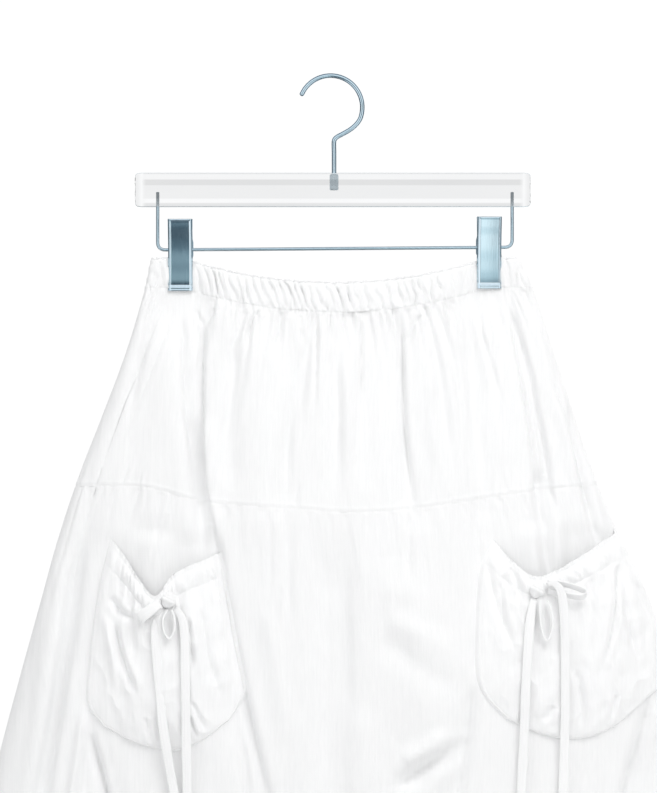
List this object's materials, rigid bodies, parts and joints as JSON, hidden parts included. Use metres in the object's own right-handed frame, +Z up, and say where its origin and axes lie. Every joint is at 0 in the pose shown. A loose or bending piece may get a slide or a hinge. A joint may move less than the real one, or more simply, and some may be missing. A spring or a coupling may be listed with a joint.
{
  "type": "balloon skirt on clip hanger",
  "caption": "Long gathered cotton balloon skirt with drawstring patch pockets, hanging by its elastic waist from a clear clip hanger.",
  "frame": {"origin": "inside top of the hanger's hook, where the rail bears", "axes": "+Z up; the front of the skirt faces -Y; +X to the right as seen from the front, which is the wearer's left"},
  "size_m": [0.6704, 0.1437, 0.9792],
  "materials": {
    "cotton": "matt, finely crinkled",
    "bright_steel": "polished",
    "clear_plastic": "clear gloss"
  },
  "bodies": {
    "root": {"waistband": "cotton", "yoke_front": "cotton", "yoke_back": "cotton", "lower_front": "cotton", "lower_back": "cotton", "hem_band": "cotton", "pocket_left": "cotton", "pocket_right": "cotton", "knot_left": "cotton", "loop_side_left": "cotton", "loop_low_left": "cotton", "tail_1_left": "cotton", "tail_2_left": "cotton", "knot_right": "cotton", "loop_side_right": "cotton", "loop_low_right": "cotton", "tail_1_right": "cotton", "tail_2_right": "cotton", "hanger_hook": "bright_steel", "hook_socket": "bright_steel", "hanger_rod": "bright_steel", "clip_front_left": "bright_steel", "clip_back_left": "bright_steel", "clip_spring_left": "bright_steel", "clip_front_right": "bright_steel", "clip_back_right": "bright_steel", "clip_spring_right": "bright_steel", "hanger_bar": "clear_plastic"}
  },
  "joints": []
}
